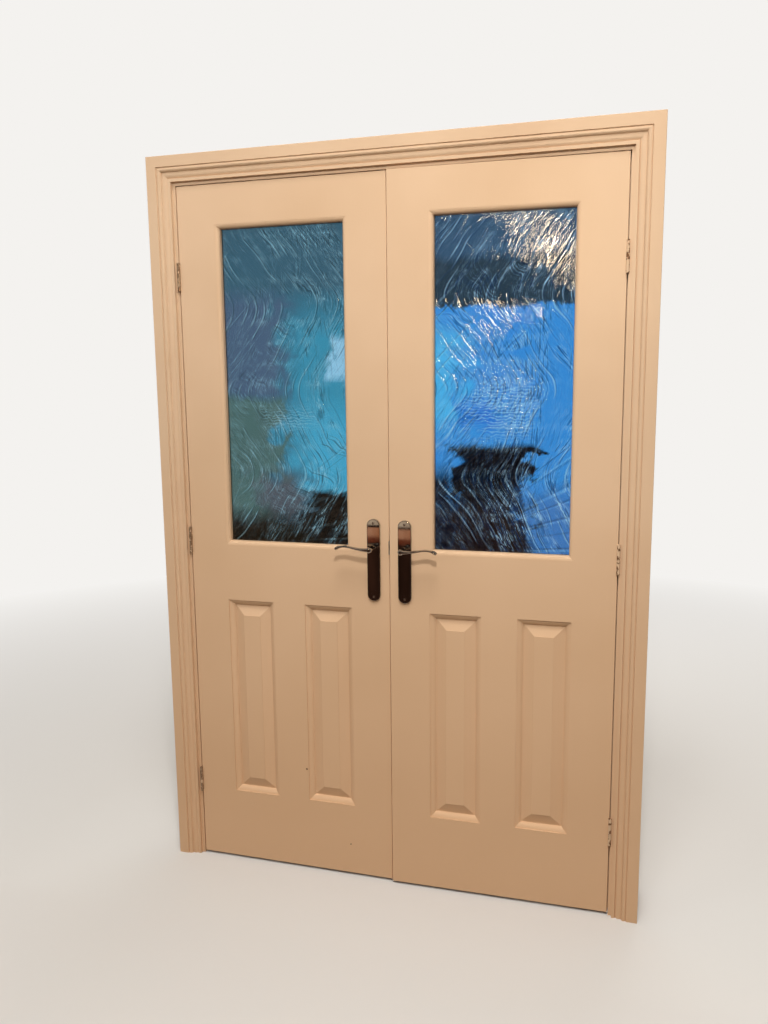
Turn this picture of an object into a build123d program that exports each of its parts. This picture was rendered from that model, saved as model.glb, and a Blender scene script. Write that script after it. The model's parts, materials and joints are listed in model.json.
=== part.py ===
from build123d import *
from math import atan2, cos, pi, radians, sin
import os

# A pair of half-glazed, panelled doors in their lining, with architraves on both faces.
# Millimetres. +X is to the right, +Y runs from the front to the back, +Z is up.
# Everything is drawn with Y = 0 on the leaves' front faces and moved to the origin when written.
# Left-hand pieces are drawn first. Right-hand ones are their mirror images about X = 0.

cut_over = 1.0  # how far a cut runs past the face it starts from

# Leaves
leaf_width = 610.0
leaf_height = 1981.0
leaf_thickness = 35.0
leaf_arris = 1.5
side_gap = 2.5
meeting_gap = 3.5
head_gap = 2.5
floor_gap = 9.0
right_leaf_ajar = 0.8  # degrees that the right leaf stands open

# Stiles, rails and panels of a leaf
stile_width = 113.0
muntin_width = 98.0
bottom_rail = 213.0
lock_rail = 166.0
top_rail = 107.0
panel_height = 598.0
panel_step = 3.0
panel_ovolo_start = 1.0
panel_ovolo_width = 15.0
panel_ovolo_depth = 11.8
panel_ovolo_middle = (0.62, 0.42)  # a point on the curve, as shares of its width and fall
panel_groove_width = 18.0
panel_groove_depth = 13.2
panel_bevel_width = 27.5
panel_bevel_rise = 9.6
panel_field_drop = 2.3

# Glazing
glass_step = 0.6
glass_moulding_width = 11.0
glass_moulding_depth = 9.5
glass_moulding_middle = (0.66, 0.36)  # shares of its width and depth
glass_setback = 20.0
glass_thickness = 5.0
glass_cover = 10.0
glass_clearance = 1.5
bead_depth = 9.0
bead_nose = 3.0
bead_middle = (0.72, 0.78)  # a point on its rounded corner, as shares of cover and depth

# Lining and stops
lining_thickness = 27.0
lining_depth = 131.0
tongue_thickness = 12.0
tongue_height = 10.0
tongue_clearance = 0.2
stop_thickness = 12.0
stop_width = 32.0
stop_clearance = 1.0

# Architraves
architrave_width = 69.0
architrave_thickness = 18.0
architrave_reveal = 9.5
architrave_edge_round = 1.5
architrave_flat = 29.5
architrave_quirk = (30.8, 3.4)  # these points are (in from the outer edge, down from the flat)
architrave_roll_top = (36.3, 1.2)
architrave_roll_end = (42.4, 6.0)
architrave_crease = (43.6, 8.4)
architrave_ovolo_top = (50.5, 7.6)
architrave_ovolo_end = (59.6, 12.2)
architrave_inner_start = (60.8, 8.0)

# Butt hinges
bottom_hinge_height = 238.0  # of its middle above the leaf's foot
middle_hinge_drop = 4.5  # below the middle of the leaf
top_hinge_drop = 244.0  # below the top of the leaf
hinge_length = 76.0
knuckle_count = 5
knuckle_radius = 4.25
knuckle_gap = 0.3
knuckle_sweep_clearance = 0.4
pin_standoff = 5.0
pin_radius = 2.5
pin_clearance = 0.06
pin_head_radius = 3.4
pin_head_height = 1.6
pin_head_round = 1.0
flap_thickness = 2.0
flap_depth = 26.0
flap_end_clearance = 0.3
flap_screws = 3
flap_screw_stagger = 4.5

# Wood screws
screw_head_radius = 3.6
screw_head_depth = 1.9
screw_shank_radius = 1.7
screw_point = 3.0
screw_slot_width = 0.9
screw_slot_depth = 0.8
screw_clearance = 0.05
hinge_screw_length = 20.0
plate_screw_length = 19.0
keep_screw_length = 16.0

# Handle plates
backset = 44.0
spindle_height = 988.0
plate_length = 232.0
plate_width = 38.0
plate_thickness = 7.0
plate_wall = 2.0
plate_edge_round = 1.8
plate_below_spindle = 35.5
plate_screw_inset = 12.0
plate_boss_radius = 5.5

# Levers
spindle_side = 7.6
spindle_clearance = 0.1
spindle_hole_radius = 10.0
journal_radius = 8.0
journal_clearance = 0.08
collar_radius = 9.6
collar_length = 3.0
collar_gap = 0.3
neck_waist_radius = 6.6
neck_waist_reach = 23.0
neck_slopes = [(-1, -1.5), (0, -1)]
spindle_end_gap = 1.0
journal_inset = 1.0
dome_radius = 8.4
arm_reach = 46.0
arm_length = 97.0
arm_root_height = 6.4
arm_root_depth = 7.6
arm_root_taper = 3.0
arm_waist = 2.8
arm_depth = 6.2
arm_tip_swell = 1.2
arm_tip_taper = 6
arm_tip_length = 2.8
arm_tip_angles = (35.0, 65.0)
arm_crest_height = 7.2
arm_crest_place = 0.73  # as a share of its length
arm_crest_skew = 2
arm_stations = 9
arm_slope_step = 0.01

# Mortice latch in the right leaf and keep in the left one
forend_thickness = 3.0
forend_width = 22.0
forend_height = 76.0
forend_screw_inset = 7.0
case_depth = 62.0
case_height = 50.0
case_thickness = 14.0
case_wall = 1.5
case_clearance = 0.3
bolt_rest_nose = 2.0
bolt_head_length = 18.0
bolt_head_height = 16.0
bolt_head_width = 10.0
bolt_bevel_length = 9.0
bolt_tip_flat = 2.0
bolt_clearance = 0.3
bolt_arm_width = 4.0
bolt_arm_low = 17.0
bolt_arm_high = 21.0
bolt_lug_low = 8.5
follower_radius = 7.0
follower_finger = 15.0
follower_finger_width = 5.0
follower_finger_play = 1.0
keep_thickness = 2.0
keep_height = 58.0
keep_width = 20.0
keep_lip_height = 38.0
keep_lip_reach = 0.8
keep_pocket_depth = 14.0
keep_pocket_margin = 2.0

# Places worked out from the sizes above
opening_half = meeting_gap / 2 + leaf_width + side_gap
opening_height = floor_gap + leaf_height + head_gap
leaf_hinge_x = side_gap - opening_half
leaf_meeting_x = -meeting_gap / 2
leaf_middle_y = leaf_thickness / 2
pin_x = side_gap / 2 - opening_half
spindle_x = leaf_meeting_x - backset
spindle_z = floor_gap + spindle_height
plate_z = spindle_z - plate_below_spindle
lever_to_pin = leaf_width - backset + side_gap / 2
ajar_swing = sin(radians(right_leaf_ajar)) * lever_to_pin
ajar_reach = cos(radians(right_leaf_ajar)) * (arm_reach - pin_standoff)
reach_front = pin_standoff + ajar_swing + ajar_reach + dome_radius
reach_back = lining_depth + architrave_thickness
face_y = (reach_front - reach_back) / 2
leaf_mid_plane = Plane(origin=(0, leaf_middle_y, 0), z_dir=(0, 1, 0))
lining_mid_plane = Plane(origin=(0, lining_depth / 2, 0), z_dir=(0, 1, 0))
right_pin = Axis((-pin_x, -pin_standoff, 0), (0, 0, 1))


def block(x0, x1, y0, y1, z0, z1):
    """A rectangular block between two corners."""
    return Pos((x0 + x1) / 2, (y0 + y1) / 2, (z0 + z1) / 2) * Box(x1 - x0, y1 - y0, z1 - z0)


def rod(x, y0, y1, z, radius):
    """A round rod along Y."""
    middle = Pos(x, (y0 + y1) / 2, z)
    return middle * Rot(90, 0, 0) * Cylinder(radius, y1 - y0)


def post(x, y, z0, z1, radius):
    """A round post along Z."""
    return Pos(x, y, (z0 + z1) / 2) * Cylinder(radius, z1 - z0)


def to_right(piece):
    """The right-hand twin of a piece fixed to the frame."""
    return mirror(piece, about=Plane.YZ)


def to_right_leaf(piece):
    """The right-hand twin of a piece on the leaf, turned with the leaf as it stands ajar."""
    return mirror(piece, about=Plane.YZ).rotate(right_pin, right_leaf_ajar)


def group(pieces):
    """Separate solids kept together as one node."""
    return Compound(children=[solid for piece in pieces for solid in piece.solids()])


# Mouldings

def mitred_piece(profile, corner, along, inward, length, mitre_start=True, mitre_end=True):
    """One side of a mitred frame. The profile is drawn as (inset from the outer edge, Y)."""
    start = Vector(corner)
    run = Vector(along)
    inset = Vector(inward)
    piece = extrude(Plane(origin=start, x_dir=inset, z_dir=run) * profile, amount=length)
    if mitre_start:
        piece = split(piece, bisect_by=Plane(origin=start, z_dir=run - inset), keep=Keep.TOP)
    if mitre_end:
        end = start + run * length
        piece = split(piece, bisect_by=Plane(origin=end, z_dir=-run - inset), keep=Keep.TOP)
    return piece


def mitred_ring(profile, x0, x1, z0, z1):
    """The four sides of a moulding run round a rectangle with mitred corners."""
    width = x1 - x0
    height = z1 - z0
    return [
        mitred_piece(profile, (x0, 0, z0), (0, 0, 1), (1, 0, 0), height),
        mitred_piece(profile, (x0, 0, z1), (1, 0, 0), (0, 0, -1), width),
        mitred_piece(profile, (x1, 0, z1), (0, 0, -1), (-1, 0, 0), height),
        mitred_piece(profile, (x1, 0, z0), (-1, 0, 0), (0, 0, 1), width),
    ]


def panel_groove_profile():
    """Section of the cut round a raised panel: step, ovolo, fillet, flat and the panel's bevel."""
    above = -cut_over
    across, down = panel_ovolo_middle
    fall = panel_ovolo_depth - panel_step
    run = panel_ovolo_width - panel_ovolo_start
    ovolo_start = (panel_ovolo_start, panel_step)
    ovolo_middle = (panel_ovolo_start + run * across, panel_step + fall * down)
    ovolo_end = (panel_ovolo_width, panel_ovolo_depth)
    field_edge = panel_groove_width + panel_bevel_width
    bevel_end = (field_edge, panel_groove_depth - panel_bevel_rise)
    return make_face(
        [
            Line((0, above), (0, panel_step)),
            Line((0, panel_step), ovolo_start),
            ThreePointArc(ovolo_start, ovolo_middle, ovolo_end),
            Line(ovolo_end, (panel_ovolo_width, panel_groove_depth)),
            Line((panel_ovolo_width, panel_groove_depth), (panel_groove_width, panel_groove_depth)),
            Line((panel_groove_width, panel_groove_depth), bevel_end),
            Line(bevel_end, (field_edge, above)),
            Line((field_edge, above), (0, above)),
        ]
    )


def glass_moulding_profile():
    """Section of the cut round the glass: a small step and a rounded slope down to the pane."""
    above = -cut_over
    low = (glass_moulding_width, glass_moulding_depth)
    across, down = glass_moulding_middle
    middle = (glass_moulding_width * across, glass_moulding_depth * down)
    return make_face(
        [
            Line((0, above), (0, glass_step)),
            ThreePointArc((0, glass_step), middle, low),
            Line(low, (glass_moulding_width, above)),
            Line((glass_moulding_width, above), (0, above)),
        ]
    )


def architrave_profile():
    """Section of the architrave, from its outer edge in: flat, quirk, roll, crease, ovolo and inner flat."""
    top = -architrave_thickness
    edge_round = architrave_edge_round
    points = (
        architrave_quirk,
        architrave_roll_top,
        architrave_roll_end,
        architrave_crease,
        architrave_ovolo_top,
        architrave_ovolo_end,
        architrave_inner_start,
    )
    quirk, roll_top, roll_end, crease, ovolo_top, ovolo_end, inner_start = [
        (across, top + down) for across, down in points
    ]
    inner_end = (architrave_width, inner_start[1])
    return make_face(
        [
            Line((0, 0), (0, top + edge_round)),
            RadiusArc((0, top + edge_round), (edge_round, top), -edge_round),
            Line((edge_round, top), (architrave_flat, top)),
            Line((architrave_flat, top), quirk),
            ThreePointArc(quirk, roll_top, roll_end),
            Line(roll_end, crease),
            ThreePointArc(crease, ovolo_top, ovolo_end),
            Line(ovolo_end, inner_start),
            Line(inner_start, inner_end),
            Line(inner_end, (architrave_width, 0)),
            Line((architrave_width, 0), (0, 0)),
        ]
    )


def bead_profile():
    """Section of a glazing bead behind the pane, thick at the rebate and rounded at its nose."""
    front = glass_setback + glass_thickness
    back = front + bead_depth
    nose_back = front + bead_nose
    across, down = bead_middle
    middle = (glass_cover * across, front + bead_depth * down)
    return make_face(
        [
            Line((0, front), (glass_cover, front)),
            Line((glass_cover, front), (glass_cover, nose_back)),
            ThreePointArc((glass_cover, nose_back), middle, (bead_nose, back)),
            Line((bead_nose, back), (0, back)),
            Line((0, back), (0, front)),
        ]
    )


# Screws

def screw_outline(length, growth):
    """Half section of a countersunk screw whose head top lies at Z = 0."""
    head = screw_head_radius + growth
    shank = screw_shank_radius + growth
    return make_face(
        Plane.XZ
        * Polyline(
            (0, 0),
            (head, 0),
            (shank, -screw_head_depth),
            (shank, screw_point - length),
            (0, -length),
            close=True,
        )
    )


def wood_screw(length):
    """A slotted countersunk wood screw, pointing down."""
    body = revolve(screw_outline(length, 0), Axis.Z)
    return body - Box(2 * screw_head_radius, screw_slot_width, 2 * screw_slot_depth)


def screw_space(length):
    """The countersink and pilot hole that a wood screw fills."""
    return revolve(screw_outline(length + screw_clearance, screw_clearance), Axis.Z)


def aimed(piece, point, outward):
    """A screw or its hole, set at a point with its head facing outward."""
    return Plane(origin=point, z_dir=outward) * piece


# Frame

def left_jamb(hinge_spots):
    """Upright of the lining, with a tongue for the head and a recess for each hinge flap."""
    x0 = -opening_half - lining_thickness
    jamb = block(x0, -opening_half, 0, lining_depth, 0, opening_height)
    tongue_x = -opening_half - lining_thickness / 2
    half = tongue_thickness / 2
    tongue_top = opening_height + tongue_height
    jamb += block(tongue_x - half, tongue_x + half, 0, lining_depth, opening_height, tongue_top)
    for spot in hinge_spots:
        jamb -= flap_recess(spot, -opening_half, -1)
        for hole in flap_screw_places(spot, -opening_half):
            jamb -= aimed(screw_space(hinge_screw_length), hole, (1, 0, 0))
    return jamb


def head_lining():
    """Top of the lining, grooved on its underside for the tongues of both jambs."""
    half_length = opening_half + lining_thickness
    head_top = opening_height + lining_thickness
    head = block(-half_length, half_length, 0, lining_depth, opening_height, head_top)
    groove_half = tongue_thickness / 2 + tongue_clearance
    for side in (-1, 1):
        middle = side * (opening_half + lining_thickness / 2)
        top = opening_height + tongue_height + tongue_clearance
        head -= block(middle - groove_half, middle + groove_half, 0, lining_depth, opening_height, top)
    return head


def left_stop():
    """Planted stop on the jamb, just behind the leaf."""
    y0 = leaf_thickness + stop_clearance
    top = opening_height - stop_thickness
    return block(-opening_half, -opening_half + stop_thickness, y0, y0 + stop_width, 0, top)


def head_stop():
    """Planted stop under the head."""
    y0 = leaf_thickness + stop_clearance
    low = opening_height - stop_thickness
    return block(-opening_half, opening_half, y0, y0 + stop_width, low, opening_height)


def front_architraves():
    """Two legs and a head, mitred at the top corners and set back from the lining's inner edge."""
    outer_x = opening_half + architrave_reveal + architrave_width
    outer_z = opening_height + architrave_reveal + architrave_width
    profile = architrave_profile()
    leg = mitred_piece(profile, (-outer_x, 0, 0), (0, 0, 1), (1, 0, 0), outer_z, mitre_start=False)
    head = mitred_piece(profile, (-outer_x, 0, outer_z), (1, 0, 0), (0, 0, -1), 2 * outer_x)
    return leg, head


# Leaves

def panel_spans():
    """Left and right edge of each panel of the left leaf."""
    width = (leaf_width - 2 * stile_width - muntin_width) / 2
    first = leaf_hinge_x + stile_width
    second = first + width + muntin_width
    return [(first, first + width), (second, second + width)]


def glass_span():
    """Outer edges of the moulding round the glass: left, right, bottom and top."""
    low = floor_gap + bottom_rail + panel_height + lock_rail
    high = floor_gap + leaf_height - top_rail
    return leaf_hinge_x + stile_width, leaf_meeting_x - stile_width, low, high


def rebate_span():
    """Edges of the rebate that holds the pane and its beads."""
    x0, x1, z0, z1 = glass_span()
    inset = glass_moulding_width - glass_cover
    return x0 + inset, x1 - inset, z0 + inset, z1 - inset


def moulded_leaf(hinge_spots):
    """A leaf with raised panels on both faces, a moulded glass opening and its hinge recesses."""
    top = floor_gap + leaf_height
    leaf = block(leaf_hinge_x, leaf_meeting_x, 0, leaf_thickness, floor_gap, top)
    leaf = fillet(leaf.edges().filter_by(Axis.Z), leaf_arris)
    panel_low = floor_gap + bottom_rail
    panel_high = panel_low + panel_height
    field_inset = panel_groove_width + panel_bevel_width
    for x0, x1 in panel_spans():
        groove = mitred_ring(panel_groove_profile(), x0, x1, panel_low, panel_high)
        field = block(
            x0 + field_inset,
            x1 - field_inset,
            -cut_over,
            panel_field_drop,
            panel_low + field_inset,
            panel_high - field_inset,
        )
        for cut in groove + [field]:
            leaf -= cut
            leaf -= to_back(cut)
    x0, x1, z0, z1 = glass_span()
    for cut in mitred_ring(glass_moulding_profile(), x0, x1, z0, z1):
        leaf -= cut
    sight = glass_moulding_width
    past = glass_setback + cut_over
    leaf -= block(x0 + sight, x1 - sight, -cut_over, past, z0 + sight, z1 - sight)
    x0, x1, z0, z1 = rebate_span()
    leaf -= block(x0, x1, glass_setback, leaf_thickness + cut_over, z0, z1)
    for spot in hinge_spots:
        leaf -= flap_recess(spot, leaf_hinge_x, 1)
        for hole in flap_screw_places(spot, leaf_hinge_x):
            leaf -= aimed(screw_space(hinge_screw_length), hole, (-1, 0, 0))
    leaf -= rod(spindle_x, -cut_over, leaf_thickness + cut_over, spindle_z, spindle_hole_radius)
    for place in plate_screw_places():
        hole = aimed(screw_space(plate_screw_length), place, (0, -1, 0))
        leaf -= hole
        leaf -= to_back(hole)
    return leaf


def pane():
    """Glass, held in the rebate with a little clearance at its edges."""
    x0, x1, z0, z1 = rebate_span()
    gap = glass_clearance
    back = glass_setback + glass_thickness
    return block(x0 + gap, x1 - gap, glass_setback, back, z0 + gap, z1 - gap)


def glazing_beads():
    """Four mitred beads behind the pane, by the side of the glass that each one holds."""
    names = ("hinge_bead", "top_bead", "meeting_bead", "bottom_bead")
    return dict(zip(names, mitred_ring(bead_profile(), *rebate_span())))


# Hinges

def hinge_heights():
    """Middle of each hinge above the leaf's foot."""
    return {
        "bottom": bottom_hinge_height,
        "middle": leaf_height / 2 - middle_hinge_drop,
        "top": leaf_height - top_hinge_drop,
    }


def knuckle_spans(low, owner):
    """Bottom and top of the knuckles of one flap: the frame's are the odd ones, the leaf's the even."""
    pitch = (hinge_length + knuckle_gap) / knuckle_count
    first = 0 if owner == "frame" else 1
    lows = [low + i * pitch for i in range(first, knuckle_count, 2)]
    return [(z0, z0 + pitch - knuckle_gap) for z0 in lows]


def flap(low, owner):
    """One half of a butt hinge: a flat flap with countersunk holes and its own knuckles."""
    side = -1 if owner == "frame" else 1
    other = "leaf" if owner == "frame" else "frame"
    face = pin_x + side * side_gap / 2
    edges = sorted((face, face + side * flap_thickness))
    high = low + hinge_length
    piece = block(edges[0], edges[1], -pin_standoff, flap_depth, low, high)
    for z0, z1 in knuckle_spans(low, other):
        sweep_radius = knuckle_radius + knuckle_sweep_clearance
        piece -= post(pin_x, -pin_standoff, z0 - knuckle_gap, z1 + knuckle_gap, sweep_radius)
    for z0, z1 in knuckle_spans(low, owner):
        piece += post(pin_x, -pin_standoff, z0, z1, knuckle_radius)
    piece -= post(pin_x, -pin_standoff, low - cut_over, high + cut_over, pin_radius + pin_clearance)
    for hole in flap_screw_places(low, face):
        piece -= aimed(screw_space(hinge_screw_length), hole, (-side, 0, 0))
    return piece


def flap_recess(low, face, side):
    """The housing for a flap in the edge of the jamb or the leaf."""
    x0, x1 = sorted((face - side * cut_over, face + side * flap_thickness))
    spare = flap_end_clearance
    high = low + hinge_length + spare
    return block(x0, x1, -cut_over, flap_depth + spare, low - spare, high)


def flap_screw_places(low, face):
    """Screw places of a flap, staggered about the middle of its width."""
    pitch = hinge_length / flap_screws
    middle_y = flap_depth / 2
    places = []
    for i in range(flap_screws):
        shift = flap_screw_stagger * (-1) ** i
        places.append((face, middle_y + shift, low + (i + 0.5) * pitch))
    return places


def hinge_pin(low):
    """A pin with a shallow round head at each end of the knuckles."""
    high = low + hinge_length
    pin = post(pin_x, -pin_standoff, low, high, pin_radius)
    top = post(pin_x, -pin_standoff, high, high + pin_head_height, pin_head_radius)
    foot = post(pin_x, -pin_standoff, low - pin_head_height, low, pin_head_radius)
    top = fillet(top.edges().group_by(Axis.Z)[-1], pin_head_round)
    foot = fillet(foot.edges().group_by(Axis.Z)[0], pin_head_round)
    return pin + top + foot


# Handles

def plate_screw_places():
    """Screw places on the front of the front plate."""
    reach = plate_length / 2 - plate_screw_inset
    return [(spindle_x, -plate_thickness, plate_z + side * reach) for side in (-1, 1)]


def front_plate():
    """A long plate with round ends, pressed hollow behind, with two screw bosses."""
    outline = SlotOverall(plate_length, plate_width, rotation=90)
    hollow = SlotOverall(plate_length - 2 * plate_wall, plate_width - 2 * plate_wall, rotation=90)
    plane = Plane(origin=(spindle_x, 0, plate_z), x_dir=(1, 0, 0), z_dir=(0, -1, 0))
    plate = extrude(plane * outline, amount=plate_thickness)
    plate = fillet(plate.edges().group_by(Axis.Y)[0], plate_edge_round)
    plate -= extrude(plane * hollow, amount=plate_thickness - plate_wall)
    for x, y, z in plate_screw_places():
        plate += rod(x, y + plate_wall / 2, 0, z, plate_boss_radius)
        plate -= aimed(screw_space(plate_screw_length), (x, y, z), (0, -1, 0))
    bore = journal_radius + journal_clearance
    return plate - rod(spindle_x, -plate_thickness - cut_over, cut_over, spindle_z, bore)


def lever_neck():
    """The turned part of a lever: journal, collar, waisted neck and domed end."""
    back = plate_wall - plate_thickness + journal_inset
    start = plate_thickness + collar_gap
    front = start + collar_length
    outline = make_face(
        [
            Line((0, back), (journal_radius, back)),
            Line((journal_radius, back), (journal_radius, -start)),
            Line((journal_radius, -start), (collar_radius, -start)),
            Line((collar_radius, -start), (collar_radius, -front)),
            Line((collar_radius, -front), (journal_radius, -front)),
            Spline(
                (journal_radius, -front),
                (neck_waist_radius, -neck_waist_reach),
                (dome_radius, -arm_reach),
                tangents=neck_slopes,
            ),
            RadiusArc((dome_radius, -arm_reach), (0, -arm_reach - dome_radius), dome_radius),
            Line((0, -arm_reach - dome_radius), (0, back)),
        ]
    )
    return revolve(outline, Axis.Y)


def arm_curve(t):
    """Form of the arm's centre line: level at the root, a crest well along it and a drooping tip."""
    return t**arm_crest_skew * sin(pi * t)


def arm_rise(t):
    """Height of the arm's centre line above the spindle at a share t of its length."""
    return arm_crest_height * arm_curve(t) / arm_curve(arm_crest_place)


def arm_section(t):
    """Centre, heading, half depth and half height of the arm at a share t of its length."""
    step = arm_slope_step
    slope = atan2(arm_rise(t + step) - arm_rise(t - step), 2 * step * arm_length)
    heading = Vector(-cos(slope), 0, sin(slope))
    centre = Vector(-arm_length * t, -arm_reach, arm_rise(t))
    depth = arm_depth + (arm_root_depth - arm_depth) * (1 - t) ** 2
    thinning = (arm_root_height - arm_waist) * (1 - t) ** arm_root_taper
    height = arm_waist + thinning + arm_tip_swell * t**arm_tip_taper
    return centre, heading, depth, height


def lever_arm():
    """The waved arm, lofted through ellipses from inside the domed end to a rounded tip."""
    ellipses = []
    for i in range(arm_stations):
        centre, heading, depth, height = arm_section(i / (arm_stations - 1))
        place = Plane(origin=centre, x_dir=(0, 1, 0), z_dir=heading)
        ellipses.append(place * Ellipse(depth, height))
    for angle in arm_tip_angles:
        past = centre + heading * arm_tip_length * sin(radians(angle))
        shrink = cos(radians(angle))
        place = Plane(origin=past, x_dir=(0, 1, 0), z_dir=heading)
        ellipses.append(place * Ellipse(depth * shrink, height * shrink))
    return loft(ellipses)


def front_lever():
    """A lever pointing towards the hinges, with a square socket for the spindle."""
    lever = lever_neck() + lever_arm()
    half = spindle_side / 2 + spindle_clearance
    lever -= block(-half, half, -neck_waist_reach - spindle_end_gap, 0, -half, half)
    return Pos(spindle_x, 0, spindle_z) * lever


def spindle():
    """A square bar through the leaf that joins both levers."""
    half = spindle_side / 2
    reach = neck_waist_reach
    return block(
        spindle_x - half,
        spindle_x + half,
        -reach,
        leaf_thickness + reach,
        spindle_z - half,
        spindle_z + half,
    )


# Latch and keep, drawn at the meeting edge of the left leaf

def edge_plate(thickness, width, height):
    """A plate let flush into the meeting edge at spindle height."""
    return block(
        leaf_meeting_x - thickness,
        leaf_meeting_x,
        leaf_middle_y - width / 2,
        leaf_middle_y + width / 2,
        spindle_z - height / 2,
        spindle_z + height / 2,
    )


def edge_screw_places(height):
    """Screw places near the ends of a plate in the meeting edge."""
    reach = height / 2 - forend_screw_inset
    return [(leaf_meeting_x, leaf_middle_y, spindle_z + side * reach) for side in (-1, 1)]


def bolt_space(depth, margin):
    """The straight hole that the bolt's head slides in."""
    half_width = bolt_head_width / 2 + margin
    half_height = bolt_head_height / 2 + margin
    return block(
        leaf_meeting_x - depth,
        leaf_meeting_x + cut_over,
        leaf_middle_y - half_width,
        leaf_middle_y + half_width,
        spindle_z - half_height,
        spindle_z + half_height,
    )


def case_block(growth):
    """Outer form of the latch case, behind the forend."""
    front = leaf_meeting_x - forend_thickness
    return block(
        front - case_depth - growth,
        front,
        leaf_middle_y - case_thickness / 2 - growth,
        leaf_middle_y + case_thickness / 2 + growth,
        spindle_z - case_height / 2 - growth,
        spindle_z + case_height / 2 + growth,
    )


def latch_case():
    """A folded steel case, open to the bolt in front and bored for the follower."""
    case = case_block(0) - case_block(-case_wall)
    case -= bolt_space(forend_thickness + case_wall + cut_over, bolt_clearance)
    bore = follower_radius + pin_clearance
    return case - rod(spindle_x, -cut_over, leaf_thickness + cut_over, spindle_z, bore)


def forend():
    """The latch's face plate in the leaf's edge."""
    plate = edge_plate(forend_thickness, forend_width, forend_height)
    plate -= bolt_space(forend_thickness + cut_over, bolt_clearance)
    for place in edge_screw_places(forend_height):
        plate -= aimed(screw_space(keep_screw_length), place, (1, 0, 0))
    return plate


def latch_bolt():
    """A bolt with a bevelled head, and an arm over the follower that ends in a lug."""
    head_back = leaf_meeting_x - bolt_head_length
    tip = leaf_meeting_x + bolt_rest_nose
    half_width = bolt_head_width / 2
    low = leaf_middle_y - half_width
    high = leaf_middle_y + half_width
    outline = Polyline(
        (head_back, low),
        (tip, low),
        (tip, low + bolt_tip_flat),
        (tip - bolt_bevel_length, high),
        (head_back, high),
        close=True,
    )
    head = extrude(make_face(outline), amount=bolt_head_height)
    bolt = Pos(0, 0, spindle_z - bolt_head_height / 2) * head
    arm_y = (leaf_middle_y - bolt_arm_width / 2, leaf_middle_y + bolt_arm_width / 2)
    arm_front = head_back + bolt_arm_width
    lug_face = spindle_x - follower_finger_width / 2 - follower_finger_play
    lug_back = lug_face - bolt_arm_width
    arm_low = spindle_z + bolt_arm_low
    arm_high = spindle_z + bolt_arm_high
    bolt += block(head_back, arm_front, *arm_y, spindle_z, arm_high)
    bolt += block(lug_back, arm_front, *arm_y, arm_low, arm_high)
    return bolt + block(lug_back, lug_face, *arm_y, spindle_z + bolt_lug_low, arm_high)


def latch_follower():
    """The hub that the spindle turns, with the finger that draws the bolt."""
    half_case = case_thickness / 2
    case_front = leaf_middle_y - half_case
    case_back = leaf_middle_y + half_case
    follower = rod(spindle_x, case_front, case_back, spindle_z, follower_radius)
    half_finger = follower_finger_width / 2
    half_arm = bolt_arm_width / 2
    follower += block(
        spindle_x - half_finger,
        spindle_x + half_finger,
        leaf_middle_y - half_arm,
        leaf_middle_y + half_arm,
        spindle_z,
        spindle_z + follower_finger,
    )
    half = spindle_side / 2 + spindle_clearance
    low = spindle_z - half
    high = spindle_z + half
    return follower - block(spindle_x - half, spindle_x + half, 0, leaf_thickness, low, high)


def keep():
    """The plate that receives the bolt, with a lip that shows at the leaf's front arris."""
    plate = edge_plate(keep_thickness, keep_width, keep_height)
    plate += block(
        leaf_meeting_x - keep_thickness,
        leaf_meeting_x,
        -keep_lip_reach,
        leaf_middle_y,
        spindle_z - keep_lip_height / 2,
        spindle_z + keep_lip_height / 2,
    )
    plate -= bolt_space(keep_thickness + cut_over, keep_pocket_margin)
    for place in edge_screw_places(keep_height):
        plate -= aimed(screw_space(keep_screw_length), place, (1, 0, 0))
    return plate


def with_latch(leaf):
    """The leaf morticed for the latch case and its forend."""
    leaf -= edge_plate(forend_thickness, forend_width, forend_height)
    leaf -= case_block(case_clearance)
    for place in edge_screw_places(forend_height):
        leaf -= aimed(screw_space(keep_screw_length), place, (1, 0, 0))
    return leaf


def with_keep(leaf):
    """The leaf let in for the keep, its lip and the bolt's pocket."""
    leaf -= edge_plate(keep_thickness, keep_width, keep_height)
    leaf -= block(
        leaf_meeting_x - keep_thickness,
        leaf_meeting_x + cut_over,
        -cut_over,
        leaf_middle_y,
        spindle_z - keep_lip_height / 2,
        spindle_z + keep_lip_height / 2,
    )
    leaf -= bolt_space(keep_pocket_depth, keep_pocket_margin)
    for place in edge_screw_places(keep_height):
        leaf -= aimed(screw_space(keep_screw_length), place, (1, 0, 0))
    return leaf


def to_back(piece):
    """The twin of a piece on a leaf's other face."""
    return mirror(piece, about=leaf_mid_plane)


def unmoved(piece):
    """A left-hand piece stays as it is drawn."""
    return piece


def set_screws(length, places, outward):
    """Wood screws at the given places, heads facing outward."""
    return [aimed(wood_screw(length), place, outward) for place in places]


def write(node, piece):
    """Write one node, moved so that the origin lies under the middle of the whole part."""
    export_step(Pos(0, face_y, 0) * piece, os.path.join("parts", node + ".step"))


def write_frame(spots):
    """Lining, stops and the architraves of both faces."""
    jamb = left_jamb(spots)
    write("left_jamb", jamb)
    write("right_jamb", to_right(jamb))
    write("head_lining", head_lining())
    write("left_stop", left_stop())
    write("right_stop", to_right(left_stop()))
    write("head_stop", head_stop())
    leg, head = front_architraves()
    write("front_left_architrave", leg)
    write("front_right_architrave", to_right(leg))
    write("front_head_architrave", head)
    back_leg = mirror(leg, about=lining_mid_plane)
    write("back_left_architrave", back_leg)
    write("back_right_architrave", to_right(back_leg))
    write("back_head_architrave", mirror(head, about=lining_mid_plane))


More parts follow.
